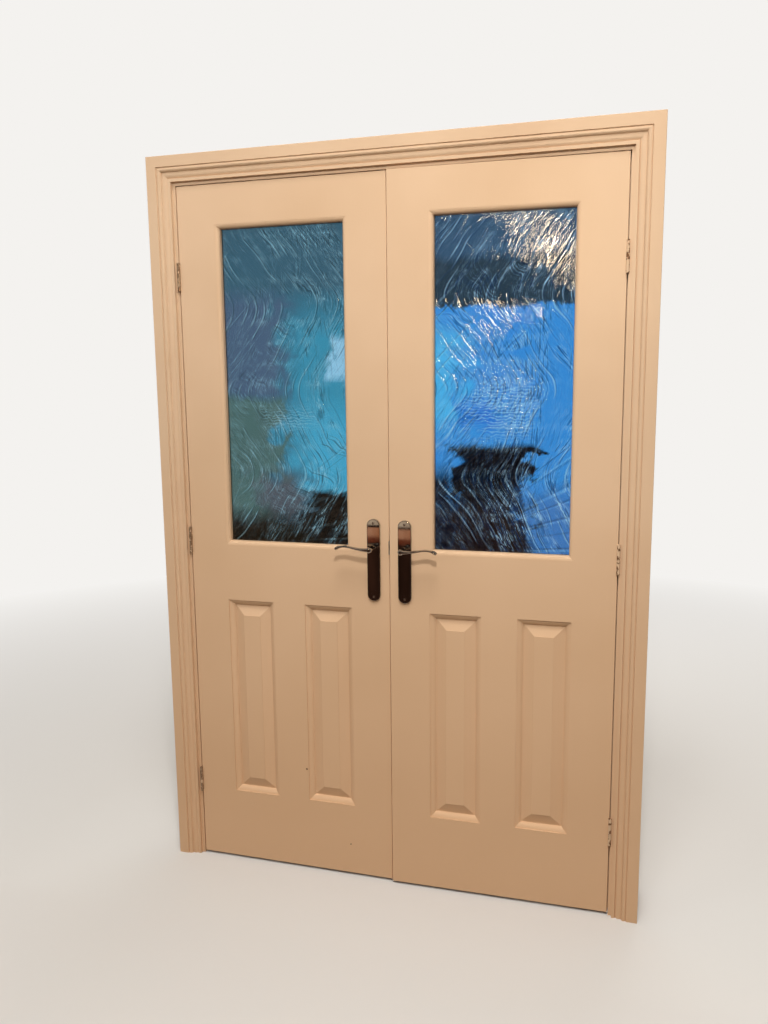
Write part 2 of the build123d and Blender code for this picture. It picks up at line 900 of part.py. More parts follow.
def write_hinges(hinges):
    """Flaps, pins and screws of three hinges on each side."""
    frame_screws = []
    leaf_screws = []
    for name, low in hinges.items():
        write("left_" + name + "_frame_flap", flap(low, "frame"))
        write("right_" + name + "_frame_flap", to_right(flap(low, "frame")))
        write("left_" + name + "_leaf_flap", flap(low, "leaf"))
        write("right_" + name + "_leaf_flap", to_right_leaf(flap(low, "leaf")))
        frame_places = flap_screw_places(low, -opening_half)
        leaf_places = flap_screw_places(low, leaf_hinge_x)
        frame_screws += set_screws(hinge_screw_length, frame_places, (1, 0, 0))
        leaf_screws += set_screws(hinge_screw_length, leaf_places, (-1, 0, 0))
    pins = [hinge_pin(low) for low in hinges.values()]
    right_frame_screws = [to_right(screw) for screw in frame_screws]
    write("left_hinge_pins", group(pins))
    write("right_hinge_pins", group([to_right(pin) for pin in pins]))
    write("frame_hinge_screws", group(frame_screws + right_frame_screws))
    write("left_hinge_screws", group(leaf_screws))
    write("right_hinge_screws", group([to_right_leaf(screw) for screw in leaf_screws]))


def write_leaves(spots):
    """Both leaves with their glass and beads."""
    leaf = moulded_leaf(spots)
    write("left_leaf", with_keep(leaf))
    write("right_leaf", to_right_leaf(with_latch(leaf)))
    write("left_glass", pane())
    write("right_glass", to_right_leaf(pane()))
    for name, bead in glazing_beads().items():
        write("left_" + name, bead)
        write("right_" + name, to_right_leaf(bead))


def write_handles():
    """Plates, levers and spindles on both leaves."""
    plate = front_plate()
    lever = front_lever()
    screws = set_screws(plate_screw_length, plate_screw_places(), (0, -1, 0))
    screws += [to_back(screw) for screw in screws]
    for side, place in (("left", unmoved), ("right", to_right_leaf)):
        write(side + "_front_plate", place(plate))
        write(side + "_back_plate", place(to_back(plate)))
        write(side + "_plate_screws", group([place(screw) for screw in screws]))
        write(side + "_front_lever", place(lever))
        write(side + "_back_lever", place(to_back(lever)))
        write(side + "_spindle", place(spindle()))


def write_latch():
    """The latch in the right leaf and the keep in the left one."""
    keep_screws = set_screws(keep_screw_length, edge_screw_places(keep_height), (1, 0, 0))
    latch_screws = set_screws(keep_screw_length, edge_screw_places(forend_height), (1, 0, 0))
    write("keep", keep())
    write("keep_screws", group(keep_screws))
    write("latch_case", to_right_leaf(latch_case()))
    write("latch_forend", to_right_leaf(forend()))
    write("latch_screws", group([to_right_leaf(screw) for screw in latch_screws]))
    write("latch_bolt", to_right_leaf(latch_bolt()))
    write("latch_follower", to_right_leaf(latch_follower()))


def main():
    os.makedirs("parts", exist_ok=True)
    hinges = {}
    for name, height in hinge_heights().items():
        hinges[name] = floor_gap + height - hinge_length / 2
    spots = list(hinges.values())
    write_frame(spots)
    write_hinges(hinges)
    write_leaves(spots)
    write_handles()
    write_latch()


main()
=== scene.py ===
# %% [markdown]
# # A pair of half-glazed doors
# The doors, their lining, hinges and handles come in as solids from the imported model. Blender gives
# them their finish: satin paint, patterned glass and chrome plate. The panes are modelled again
# here, because the relief that runs over patterned glass is part of its looks and not of its fit.

# %% Load the model
import bmesh
import bpy
import json
from math import exp, pi, radians, sin
from mathutils import Matrix, Vector, noise


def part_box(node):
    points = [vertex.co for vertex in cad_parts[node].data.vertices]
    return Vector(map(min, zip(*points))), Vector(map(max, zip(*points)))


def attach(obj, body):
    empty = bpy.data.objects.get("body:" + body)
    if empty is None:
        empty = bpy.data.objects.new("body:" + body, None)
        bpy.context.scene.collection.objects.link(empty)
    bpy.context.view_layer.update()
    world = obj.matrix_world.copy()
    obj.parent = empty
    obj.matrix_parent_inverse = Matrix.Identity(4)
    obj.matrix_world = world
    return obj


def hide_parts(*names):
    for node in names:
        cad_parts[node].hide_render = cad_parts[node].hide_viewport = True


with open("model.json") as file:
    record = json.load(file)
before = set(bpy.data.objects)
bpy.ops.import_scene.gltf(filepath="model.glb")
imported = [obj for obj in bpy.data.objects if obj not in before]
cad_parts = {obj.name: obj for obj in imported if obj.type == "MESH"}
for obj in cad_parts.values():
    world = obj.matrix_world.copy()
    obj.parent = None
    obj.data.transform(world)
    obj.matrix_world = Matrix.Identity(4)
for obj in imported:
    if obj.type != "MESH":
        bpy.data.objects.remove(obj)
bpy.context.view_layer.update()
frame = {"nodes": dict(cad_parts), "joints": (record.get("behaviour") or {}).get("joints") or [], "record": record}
nodes = frame["nodes"]
joints = {joint["name"]: joint for joint in frame["joints"]}

# %% [markdown]
# ## Colours and shader nodes
# Colours are chosen as a painter would read them off a screen, in sRGB, but Blender mixes light in
# linear values, so one function turns the first into the second. A second one adds a shader node
# with its settings and its links, which keeps each material short enough to read as a recipe.

# %% Helpers for materials
def linear(code):
    """An sRGB hex colour as linear red, green, blue and alpha."""
    channels = [int(code[i:i + 2], 16) / 255 for i in (0, 2, 4)]
    return [c / 12.92 if c <= 0.04045 else ((c + 0.055) / 1.055) ** 2.4 for c in channels] + [1.0]


def add(material, kind, inputs=None, **settings):
    """A shader node with its settings, its socket values and its links."""
    tree = material.node_tree
    node = tree.nodes.new("ShaderNode" + kind)
    for name, value in settings.items():
        setattr(node, name, value)
    for name, value in (inputs or {}).items():
        if isinstance(value, bpy.types.NodeSocket):
            tree.links.new(value, node.inputs[name])
        else:
            node.inputs[name].default_value = value
    return node


def begin(name):
    """A material with nothing in it yet, and the object's own coordinates."""
    material = bpy.data.materials.new(name)
    material.use_nodes = True
    material.node_tree.nodes.clear()
    place = add(material, "TexCoord").outputs["Object"]
    return material, place


def end(material, shader):
    """Ends a material with its surface shader."""
    add(material, "OutputMaterial", {"Surface": shader.outputs[0]})
    return material


print("white is", linear("FFFFFF"), "and mid grey is", round(linear("808080")[0], 3))

# %% [markdown]
# ## Satin paint on moulded leaves and planed wood
# Alkyd satin paint dries to an even cream with a soft sheen. A short-pile roller leaves a stipple
# of about a millimetre, and brushing out leaves faint streaks along each member. Both are finer
# than a pixel here, so they are drawn a few times coarser. Hands and years leave slow changes of
# tone. Towards the floor the paint is painted warmer, a painted stand-in for the warm light that the
# floor gives back. Two small chips sit low on the left leaf. An image file could hold all this, but
# noise and distances stay sharp at any size.

# %% Chips in the paint
CHIPS = (((-0.264, -0.0433, 0.3182), 0.0028), ((-0.1295, -0.0433, 0.0989), 0.0022))  # spot, radius
CHIP_GRAIN = 1.4  # size of the raggedness, in radii of the chip
CHIP_RAGGED = 1.5  # how far it moves the edge, in radii
CHIP_EDGE = (1.45, 1.9)  # where the bare board ends and the paint begins, in radii


def chip(material, place, spot, radius):
    """1 inside a ragged chip of the paint and 0 outside it."""
    reach = add(material, "VectorMath", {0: place, 1: spot}, operation="DISTANCE")
    grain = {"Vector": place, "Scale": 1 / (radius * CHIP_GRAIN), "Detail": 4.0}
    ragged = add(material, "TexNoise", grain)
    parts = {0: ragged.outputs["Fac"], 1: radius * CHIP_RAGGED, 2: reach.outputs["Value"]}
    edge = add(material, "Math", parts, operation="MULTIPLY_ADD")
    limits = {"From Min": radius * CHIP_EDGE[0], "From Max": radius * CHIP_EDGE[1]}
    limits.update({"Value": edge.outputs[0], "To Min": 1.0, "To Max": 0.0})
    return add(material, "MapRange", limits).outputs["Result"]


print("chips in the paint:", len(CHIPS), "radii in mm:", [radius * 1000 for spot, radius in CHIPS])

# %% Paint
STIPPLE = 0.004  # metres: a real one is near 1 mm, drawn coarser so that it shows
STREAK = 0.012
STREAK_PULL = 0.06  # streaks run up and down, so height counts only this much
TONE_PATCH = 0.45
PAINTED_WARMTH_FROM, PAINTED_WARMTH_TO = 1.3, 0.1  # heights between which the paint is painted warmer, for light given back by the floor
PAINTED_WARMTH_SHARE = 0.75
PAINTED_FLOOR_WARMTH = "E0B58C"
BARE_BOARD = "5C3C24"


def satin_paint(name, light, dark, chips=()):
    """Satin alkyd paint: an even cream with a soft sheen, and bare chips at the given points."""
    material, place = begin(name)
    slow = {"Vector": place, "Scale": 1 / TONE_PATCH, "Detail": 3.0}
    slow = add(material, "TexNoise", slow).outputs["Fac"]
    tone = add(material, "MapRange", {"Value": slow, "From Min": 0.35, "From Max": 0.65})
    height = add(material, "SeparateXYZ", {"Vector": place}).outputs["Z"]
    # share of the painted warmth: a stand-in for warm light given back from below
    low = {"Value": height, "From Min": PAINTED_WARMTH_FROM, "From Max": PAINTED_WARMTH_TO, "To Max": PAINTED_WARMTH_SHARE}
    low = add(material, "MapRange", low)
    colour_layers = [(tone.outputs["Result"], light), (low.outputs["Result"], PAINTED_FLOOR_WARMTH)]
    pulled = add(material, "Mapping", {"Vector": place, "Scale": (1.0, 1.0, STREAK_PULL)})
    streak = {"Vector": pulled.outputs["Vector"], "Scale": 1 / STREAK, "Detail": 4.0}
    streak = add(material, "TexNoise", streak).outputs["Fac"]
    stipple = {"Vector": place, "Scale": 1 / STIPPLE, "Detail": 2.0}
    stipple = add(material, "TexNoise", stipple).outputs["Fac"]
    film = add(material, "Math", {0: stipple, 1: streak}, operation="ADD").outputs[0]
    for spot, radius in chips:
        bare = chip(material, place, spot, radius)
        colour_layers.append((bare, BARE_BOARD))
        film = add(material, "Math", {0: film, 1: bare}, operation="SUBTRACT").outputs[0]
    colour = linear(dark)
    for share, coat in colour_layers:
        layer = {0: share, 6: colour, 7: linear(coat)}
        colour = add(material, "Mix", layer, data_type="RGBA").outputs[2]
    bump = add(material, "Bump", {"Strength": 0.3, "Distance": 0.0006, "Height": film})
    sheen = {"Value": slow, "From Min": 0.3, "From Max": 0.7, "To Min": 0.36, "To Max": 0.46}
    sheen = add(material, "MapRange", sheen).outputs["Result"]
    paint = {"Base Color": colour, "Roughness": sheen, "IOR": 1.5, "Normal": bump.outputs[0]}
    return end(material, add(material, "BsdfPrincipled", paint))


leaf_paint = satin_paint("satin_paint_on_moulded_leaf", "DDBB98", "D5B28E", CHIPS)
frame_paint = satin_paint("satin_paint_on_planed_softwood", "DABA98", "D2B08E")
print("paints:", leaf_paint.name, frame_paint.name)

# %% [markdown]
# ## Chrome plate
# Bright chrome is electroplated over brass or zinc. It is a mirror: nearly all that the eye sees in
# it is what stands around it. Only faint smears of handling blur it, and they change its roughness,
# not its colour. The screws and the latch are steel, plated or drawn, and a little rougher, so what
# they mirror is soft.

# %% Plated metals
SMEAR = 0.03


def plated(name, colour, smooth, smeared):
    """A plated metal: a mirror whose smears are a few centimetres across."""
    material, place = begin(name)
    smear = {"Vector": place, "Scale": 1 / SMEAR, "Detail": 5.0, "Distortion": 0.6}
    smear = add(material, "TexNoise", smear).outputs["Fac"]
    rough = {"Value": smear, "From Min": 0.4, "From Max": 0.7, "To Min": smooth, "To Max": smeared}
    rough = add(material, "MapRange", rough).outputs["Result"]
    metal = {"Base Color": linear(colour), "Metallic": 1.0, "Roughness": rough}
    return end(material, add(material, "BsdfPrincipled", metal))


handle_chrome = plated("bright_chrome_plate_on_handles", "B9B3AC", 0.02, 0.06)
screw_steel = plated("plated_steel_screws", "C4C1BC", 0.18, 0.35)
latch_steel = plated("drawn_steel_latch", "A9A6A1", 0.3, 0.45)
print("metals:", handle_chrome.name, screw_steel.name, latch_steel.name)

# %% [markdown]
# A hinge is seldom polished. A film of tarnish and dust scatters part of the light, so its chrome
# looks dull, and its brown is partly tarnish and partly a painted reflection of dark brown
# surroundings. The brush that painted the frame ran over some of it. One patchy noise serves for
# both, as the brown is deepest around the paint. The right-hand hinges got more of the brush than
# the left-hand ones.

# %% Hinges
BRUSHED_PATCH = 0.011
PATCH_EDGE = (0.62, 0.66)  # the noise turns from metal to paint here, less half the paint's share
# brown of tarnish, and of a painted reflection of dark brown surroundings
TARNISH_AND_REFLECTION_BROWN = "7A5436"


def overpainted(name, metal_colour, paint_colour, share):
    """Hinge plate that a brush ran over: paint in patches, with dull metal bare in between, browned by tarnish and
    by painted reflection.
    """
    material, place = begin(name)
    patch = {"Vector": place, "Scale": 1 / BRUSHED_PATCH, "Detail": 4.0}
    patch = add(material, "TexNoise", patch).outputs["Fac"]
    start, stop = [edge - share / 2 for edge in PATCH_EDGE]
    mask = add(material, "MapRange", {"Value": patch, "From Min": start, "From Max": stop})
    mask = mask.outputs["Result"]
    brown_share = add(material, "MapRange", {"Value": patch, "From Min": 0.3, "From Max": 0.6})
    plate = {0: brown_share.outputs["Result"], 6: linear(metal_colour), 7: linear(TARNISH_AND_REFLECTION_BROWN)}
    plate = add(material, "Mix", plate, data_type="RGBA").outputs[2]
    metal = {"Base Color": plate, "Metallic": 0.55, "Roughness": 0.32}
    metal = add(material, "BsdfPrincipled", metal).outputs[0]
    bump = add(material, "Bump", {"Strength": 0.5, "Distance": 0.0003, "Height": mask}).outputs[0]
    paint = {"Base Color": linear(paint_colour), "Roughness": 0.42, "Normal": bump}
    paint = add(material, "BsdfPrincipled", paint).outputs[0]
    return end(material, add(material, "MixShader", {0: mask, 1: metal, 2: paint}))


# The warm metal colours are partly tarnish and partly painted reflection of dark brown surroundings.
hinge_chrome = overpainted("tarnish_and_painted_reflection_on_hinges", "D2B899", "D9B996", 0.12)
painted_hinge = overpainted("hinge_chrome_under_brushed_paint", "8A6446", "D9B996", 0.42)
print("hinges, left and right:", hinge_chrome.name, painted_hinge.name)

# %% [markdown]
# ## Patterned glass
# Cast glass gets its pattern from an engraved roller. Here long ridges run down the pane, bend one
# way and then the other like smoke, fade in and out, and have finer ripples between. A grid that is
# moved point by point shows this better than a bump map, because real ridges bend what is seen
# through them. Three values stay on the mesh for the glass to read: how near a ridge is, how far
# the slope bends the view, and the line of flow, which the finest strands follow.

# %% Lines of flow
BEND_HEIGHT = 0.47  # metres up the pane in which the pattern leans one way, the other, and back
BEND_REACH = 0.058
BEND_SHIFT = 0.31  # puts the bends of the two panes at different heights
DRIFT_REACH = 0.045
KINK_REACH = 0.0055


def cloud(across, height, across_rate, height_rate, layer):
    """A smooth random value near 0. The rates say how fast it changes across and up."""
    return noise.noise(Vector((across * across_rate, height * height_rate, layer)))


def sway(height, seed):
    """How far the pattern leans aside at a height: a zigzag with rounded corners."""
    turn = 2 * pi * (height / BEND_HEIGHT + BEND_SHIFT * seed)
    return BEND_REACH * (sin(turn) - sin(3 * turn) / 9)


def flow_line(across, height, seed):
    """The line of flow through a point, in metres. Points along one line share its value."""
    drift = cloud(across, height, 4, 2.6, seed * 7.0)
    kink = cloud(across, height, 24, 17, seed * 5.0)
    return across + sway(height, seed) + DRIFT_REACH * drift + KINK_REACH * kink


print("the pattern leans aside by up to", round(BEND_REACH * 1000), "mm")

# %% Relief of the panes
RIDGE_DEPTH = 0.0019
RIDGE_PITCH, RIDGE_SHARPNESS = 0.024, 7.5
FINE_PITCH, FINE_SHARPNESS = 0.0085, 3.2
BOLD_SHARE, FINE_SHARE, SWELL_SHARE = 0.5, 0.2, 0.3  # of the depth


def crest(value, sharpness):
    """A narrow ridge, one for each whole number of the value."""
    off = value - round(value)
    return exp(-((off * sharpness) ** 2))


def relief(across, height, seed):
    """Depth and nearness of a ridge at a point of the pane, 0 to 1, and its line of flow."""
    flow = flow_line(across, height, seed)
    run = Vector((flow * 30, height * 10, seed * 3.0))  # rates per metre: slower along the flow
    strong = min(1.0, 3.0 * max(0.0, noise.noise(run) + 0.12))
    bold = crest(flow / RIDGE_PITCH + 0.6 * noise.noise(run * 0.4), RIDGE_SHARPNESS) * strong
    weak = min(1.0, 2.0 * max(0.0, cloud(flow, height, 20, 14, seed + 40.0) + 0.15))
    fine = crest(flow / FINE_PITCH + noise.noise(run * 0.7), FINE_SHARPNESS) * weak
    swell = 0.5 + 0.5 * cloud(flow, height, 22, 7, seed + 9.0)
    depth = BOLD_SHARE * bold + FINE_SHARE * fine + SWELL_SHARE * swell
    return depth, min(1.0, bold + 0.4 * fine), flow


print("ridge pitch in mm:", RIDGE_PITCH * 1000, "deepest relief in mm:", RIDGE_DEPTH * 1000)

# %% Build a pane
GRID = 0.00195
VIEW_BEND = 0.11  # metres that the view moves aside for a slope of one
FACING = Matrix.Rotation(pi / 2, 4, "X")  # stands a flat grid up to face the viewer


def pane(name, low, high, seed):
    """Patterned pane between two corners: relief in front, flat behind."""
    width, height = high.x - low.x, high.z - low.z
    middle = Matrix.Translation(((low.x + high.x) / 2, low.y, (low.z + high.z) / 2))
    mesh = bmesh.new()
    bmesh.ops.create_grid(
        mesh, x_segments=round(width / GRID), y_segments=round(height / GRID), size=0.5,
        matrix=middle @ FACING @ Matrix.Diagonal((width, height, 1.0, 1.0)),
    )
    ridge = mesh.verts.layers.float.new("ridge")
    strand = mesh.verts.layers.float.new("flow")
    bend = mesh.verts.layers.float_vector.new("bend")
    for vert in mesh.verts:
        depth, near, flow = relief(vert.co.x - low.x, vert.co.z - low.z, seed)
        vert.co.y = low.y + RIDGE_DEPTH * (1 - depth)
        vert[ridge], vert[strand] = near, flow
    mesh.normal_update()
    for vert in mesh.verts:
        vert[bend] = Vector((vert.normal.x, 0.0, vert.normal.z)) * VIEW_BEND
    rim = [edge for edge in mesh.edges if edge.is_boundary]
    walls = bmesh.ops.extrude_edge_only(mesh, edges=rim)["geom"]
    for vert in [item for item in walls if isinstance(item, bmesh.types.BMVert)]:
        vert.co.y = high.y
    bmesh.ops.holes_fill(mesh, edges=[edge for edge in mesh.edges if edge.is_boundary], sides=0)
    bmesh.ops.recalc_face_normals(mesh, faces=mesh.faces)
    data = bpy.data.meshes.new(name)
    mesh.to_mesh(data)
    mesh.free()
    for face in data.polygons:  # the relief is smooth, its rim and its back are flat
        face.use_smooth = len(face.vertices) == 4 and abs(face.normal.y) > 0.5
    piece = bpy.data.objects.new(name, data)
    bpy.context.scene.collection.objects.link(piece)
    print(name, "faces:", len(data.polygons))
    return piece


print("points of the relief are", GRID * 1000, "mm apart")

# %% [markdown]
# The right leaf is stored a little ajar. Its hinge's lower limit says by how much, so the right
# pane is made square in a shut leaf, as the left one mirrored, and then turned about the hinge with
# the leaf.

# %% Both panes
low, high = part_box("left_glass")
left_pane = pane("left_patterned_pane", low, high, 1.0)
right_low, right_high = Vector((-high.x, low.y, low.z)), Vector((-low.x, high.y, high.z))
right_pane = pane("right_patterned_pane", right_low, right_high, 2.6)
swing = joints["right_door_swing"]
pin = Vector(swing["pos_m"])
ajar = radians(-swing["range_deg"][0])
about_pin = Matrix.Translation(pin) @ Matrix.Rotation(ajar, 4, "Z") @ Matrix.Translation(-pin)
right_pane.data.transform(about_pin)
for piece, side in ((left_pane, "left"), (right_pane, "right")):
    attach(piece, side + "_door")
    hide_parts(side + "_glass")
print("right leaf ajar by", round(-swing["range_deg"][0], 3), "degrees")

# %% [markdown]
# ## What shows in the glass
# The glass itself is clear and glossy. The panes look blue, because the evening light behind them
# is: slate high up, azure in the middle and near black at the foot. On a pale stage that light is
# missing, so its tints are in the glass, as soft-edged fields. Each is read at a place moved by the
# slope of the relief, which draws its edges out along the ridges, and a slow wander moves them a
# little more.

# %% Fields of tint
WANDER = 0.06
WANDER_REACH = (0.2, 0.0, 0.04)
# Each row: tint, edges to the left, right, low and high in metres, softness of the edges.
left_fields = (
    ("429ABC", (-0.34, None, 1.14, 1.64), 0.07),
    ("526C8A", (None, -0.33, 1.40, 1.69), 0.03),
    ("547677", (None, -0.33, 1.02, 1.406), 0.012),
    ("4CB0D8", (-0.27, None, 1.12, 1.37), 0.05),
    ("98D2F4", (-0.17, None, 1.462, 1.566), 0.01),
    ("56606C", (-0.40, -0.25, 1.06, 1.19), 0.03),
    ("1C1811", (None, None, None, 1.075), 0.03),
    ("171411", (-0.25, None, None, 1.146), 0.008),
)
right_fields = (
    ("52BEFA", (None, 0.2, 1.33, 1.58), 0.04),
    ("2280E4", (0.2, 0.27, 1.33, 1.4), 0.02),
    ("304454", (None, None, 1.643, None), 0.004),
    ("40607F", (None, None, 1.765, None), 0.012),
    ("0E1626", (None, 0.19, None, 1.21), 0.03),
    ("080A12", (0.185, 0.39, None, 1.283), 0.008),
    ("4684CC", (0.39, None, None, 1.16), 0.03),
    ("181115", (0.15, 0.38, None, 1.13), 0.03),
)


def moved_view(material, place, bend):
    """Where the view through a point of the relief goes, and the wander that takes part in it."""
    wander = {"Vector": place, "Scale": 1 / WANDER, "Detail": 3.0, "Distortion": 0.6}
    wander = add(material, "TexNoise", wander).outputs
    loose = {0: wander["Color"], 1: (0.5, 0.5, 0.5)}
    loose = add(material, "VectorMath", loose, operation="SUBTRACT").outputs[0]
    aside = {0: loose, 1: WANDER_REACH, 2: bend}
    aside = add(material, "VectorMath", aside, operation="MULTIPLY_ADD").outputs[0]
    seen = add(material, "VectorMath", {0: place, 1: aside}, operation="ADD").outputs[0]
    return add(material, "SeparateXYZ", {"Vector": seen}).outputs, wander["Fac"]


def field(material, seen, edges, soft):
    """1 between the left, right, low and high edges and 0 outside. None leaves a side open."""
    share = None
    for axis, edge, fade in zip("XXZZ", edges, (soft, -soft, soft, -soft)):
        if edge is not None:
            side = {"Value": seen[axis], "From Min": edge - fade, "From Max": edge + fade}
            side = add(material, "MapRange", side).outputs["Result"]
            if share is not None:
                both = {0: share, 1: side}
                side = add(material, "Math", both, operation="MULTIPLY").outputs[0]
            share = side
    return share


print("fields:", len(left_fields), "in the left pane,", len(right_fields), "in the right one")

# %% [markdown]
# Strands finer than the grid follow the flow, with a painted highlight along the thin crest of each
# and painted shade along one side. They come in streams, and towards one side of the pane the glass
# is calm. Slopes of the relief that lean one way get painted shade, and the ridges a painted
# highlight. Each mask below turns one value into a share from 0 up, and some are then multiplied,
# as a printer lays one screen over another.

# %% Strands
STRAND = 0.0052
STREAM = 0.05
STRAND_PULL = 0.09  # strands run along the flow, so height counts only this much
CALM_EDGE = (-0.12, 0.26)  # from calm to busy, in metres to the right of the calm place


def strand_masks(material, place, seen, wander, bend, calm):
    """The strands' own pattern, and masks for where painted highlights and painted shade lie on the glass."""
    ridge = add(material, "Attribute", attribute_name="ridge").outputs["Fac"]
    flow = add(material, "Attribute", attribute_name="flow").outputs["Fac"]
    slope = add(material, "SeparateXYZ", {"Vector": bend}).outputs["X"]
    height = add(material, "SeparateXYZ", {"Vector": place}).outputs["Z"]
    slow = add(material, "Math", {0: height, 1: STRAND_PULL}, operation="MULTIPLY").outputs[0]
    thread = add(material, "CombineXYZ", {"X": flow, "Z": slow}).outputs[0]
    strands = {"Vector": thread, "Scale": 1 / STRAND, "Detail": 2.5}
    strands = add(material, "TexNoise", strands).outputs["Fac"]
    streams = {"Vector": thread, "Scale": 1 / STREAM, "Detail": 1.0}
    streams = add(material, "TexNoise", streams).outputs["Fac"]
    off = add(material, "Math", {0: strands, 1: 0.5}, operation="SUBTRACT").outputs[0]
    near = add(material, "Math", {0: off}, operation="ABSOLUTE").outputs[0]
    ramps = {  # value, where the mask starts, where it is full, how full it gets
        "stream": (streams, 0.4, 0.56, 1.0),
        "stray": (wander, 0.36, 0.5, 1.0),
        "busy_side": (seen["X"], calm + CALM_EDGE[0], calm + CALM_EDGE[1], 1.0),
        # the strands' crests and the ridges get painted highlights; one side of each strand and leaning slopes get
        # painted shade
        "crest": (near, 0.03, 0.004, 0.95),
        "painted_side_shade": (off, 0.03, 0.1, 0.8),
        "painted_slope_shade": (slope, 0.006, 0.02, 0.75),
        "ridge": (ridge, 0.6, 0.95, 0.9),
        "strand": (strands, 0.36, 0.56, 1.0),
    }
    masks = {}
    for part, (value, start, full, most) in ramps.items():
        ramp = {"Value": value, "From Min": start, "From Max": full, "To Max": most}
        masks[part] = add(material, "MapRange", ramp).outputs["Result"]
    products = (  # the product, and its two factors
        ("busy", "stream", "stray"),
        ("busy", "busy", "busy_side"),
        ("crest", "crest", "busy"),
        ("painted_side_shade", "painted_side_shade", "busy"),
        ("painted_ridge_light", "ridge", "strand"),
    )
    for part, first, second in products:
        both = {0: masks[first], 1: masks[second]}
        masks[part] = add(material, "Math", both, operation="MULTIPLY").outputs[0]
    return strands, masks


print("strands in mm:", STRAND * 1000, "streams in mm:", STREAM * 1000)

# %% [markdown]
# In one field of each pane the roller left small ripples across the flow, and bands of them are
# painted lighter as a painted highlight. They and the strands are also a bump, under 2 mm deep, so
# that the glass catches small warm glints.

# %% Glass
RIPPLE_SCALE = 38.0  # draws ripples about 8 mm apart
RIPPLE_SOFT = 0.045
RIPPLE_BUMP = 0.4  # of the strands' height


def cast_glass(name, ground, fields, light, dark, rippled, calm):
    """Cast soda-lime glass: clear and glossy, with painted tints of the light behind it, painted highlights on
    crests and painted shade on one side of each strand and slope.

    It is rippled between the four given edges, and calm near the given place across."""
    material, place = begin(name)
    bend = add(material, "Attribute", attribute_name="bend").outputs["Vector"]
    seen, wander = moved_view(material, place, bend)
    strands, masks = strand_masks(material, place, seen, wander, bend, calm)
    ripple = {"Vector": place, "Scale": RIPPLE_SCALE, "Distortion": 8.0}
    ripple.update({"Detail": 2.0, "Detail Scale": 1.6})
    ripple = add(material, "TexWave", ripple, bands_direction="Z").outputs["Fac"]
    stir = {0: ripple, 1: field(material, seen, rippled, RIPPLE_SOFT)}
    stir = add(material, "Math", stir, operation="MULTIPLY").outputs[0]
    painted_ripple_light = {"Value": stir, "From Min": 0.55, "From Max": 0.95, "To Max": 0.45}
    painted_ripple_light = add(material, "MapRange", painted_ripple_light).outputs["Result"]
    # painted tints of the light behind the glass, then painted shade and painted highlights
    layers = [(field(material, seen, edges, soft), tint) for tint, edges, soft in fields]
    layers += [(masks["painted_side_shade"], dark), (masks["painted_slope_shade"], dark), (masks["crest"], light)]
    layers += [(masks["painted_ridge_light"], light), (painted_ripple_light, light)]
    colour = linear(ground)
    for share, tint in layers:
        layer = {0: share, 6: colour, 7: linear(tint)}
        colour = add(material, "Mix", layer, data_type="RGBA").outputs[2]
    height = {0: stir, 1: RIPPLE_BUMP, 2: strands}
    height = add(material, "Math", height, operation="MULTIPLY_ADD").outputs[0]
    bump = add(material, "Bump", {"Strength": 0.7, "Distance": 0.0019, "Height": height})
    glass = {"Base Color": colour, "Roughness": 0.03, "IOR": 1.52, "Transmission Weight": 0.85}
    glass["Normal"] = bump.outputs[0]
    return end(material, add(material, "BsdfPrincipled", glass))


# light and dark: the colours of the painted highlights and the painted shade
left_cast_glass = cast_glass(
    "cast_patterned_glass_left", "426A80", left_fields, "A0D0E4", "1D333F",
    rippled=(-0.4, -0.2, 1.3, 1.4), calm=-0.47,
)
right_cast_glass = cast_glass(
    "cast_patterned_glass_right", "3F98E8", right_fields, "B4E0FC", "123564",
    rippled=(0.2, 0.42, 1.28, 1.47), calm=0.11,
)
left_pane.data.materials.append(left_cast_glass)
right_pane.data.materials.append(right_cast_glass)
print("glass:", left_cast_glass.name, right_cast_glass.name)

# %% [markdown]
# ## A finish for every node
# The record gives each node a slot, so the finish follows the slot. Only the hinges differ by side:
# the brush ran over most of the right-hand ones and touched those on the left here and there.

# %% Finishes
finishes = {
    "leaf_paint": leaf_paint,
    "frame_paint": frame_paint,
    "patterned_glass": left_cast_glass,
    "handle_chrome": handle_chrome,
    "hinge_chrome": hinge_chrome,
    "screw_steel": screw_steel,
    "latch_steel": latch_steel,
}
counts = {}
for part in frame["record"]["subparts"]:
    name, slot = part["node"], part["material_slot"]
    on_right_hinge = slot == "hinge_chrome" and name.startswith("right")
    finish = painted_hinge if on_right_hinge else finishes[slot]
    for holder in nodes[name].material_slots:
        holder.material = finish
    counts[finish.name] = counts.get(finish.name, 0) + 1
print(counts)

# %% [markdown]
# ## Stage
# The floor and the world are pale where they are seen. For the light that it gives back to the
# doors the floor is a darker one, because light from below would fill the undersides of the
# mouldings and make the panels look flat.

# %% Floor
BACKGROUND = "F4F2EF"
GIVEN_BACK = "76654F"
FADE_FROM, FADE_TO = 1.2, 4.5  # metres away from the doors
FLAT = Matrix.Identity(4)


def seen_rays(owner):
    """1 for a ray that shows the stage to the eye: straight, through glass or in a mirror."""
    path = add(owner, "LightPath").outputs
    seen = path["Is Camera Ray"]
    for kind in ("Is Transmission Ray", "Is Glossy Ray"):
        seen = add(owner, "Math", {0: seen, 1: path[kind]}, operation="MAXIMUM").outputs[0]
    return seen


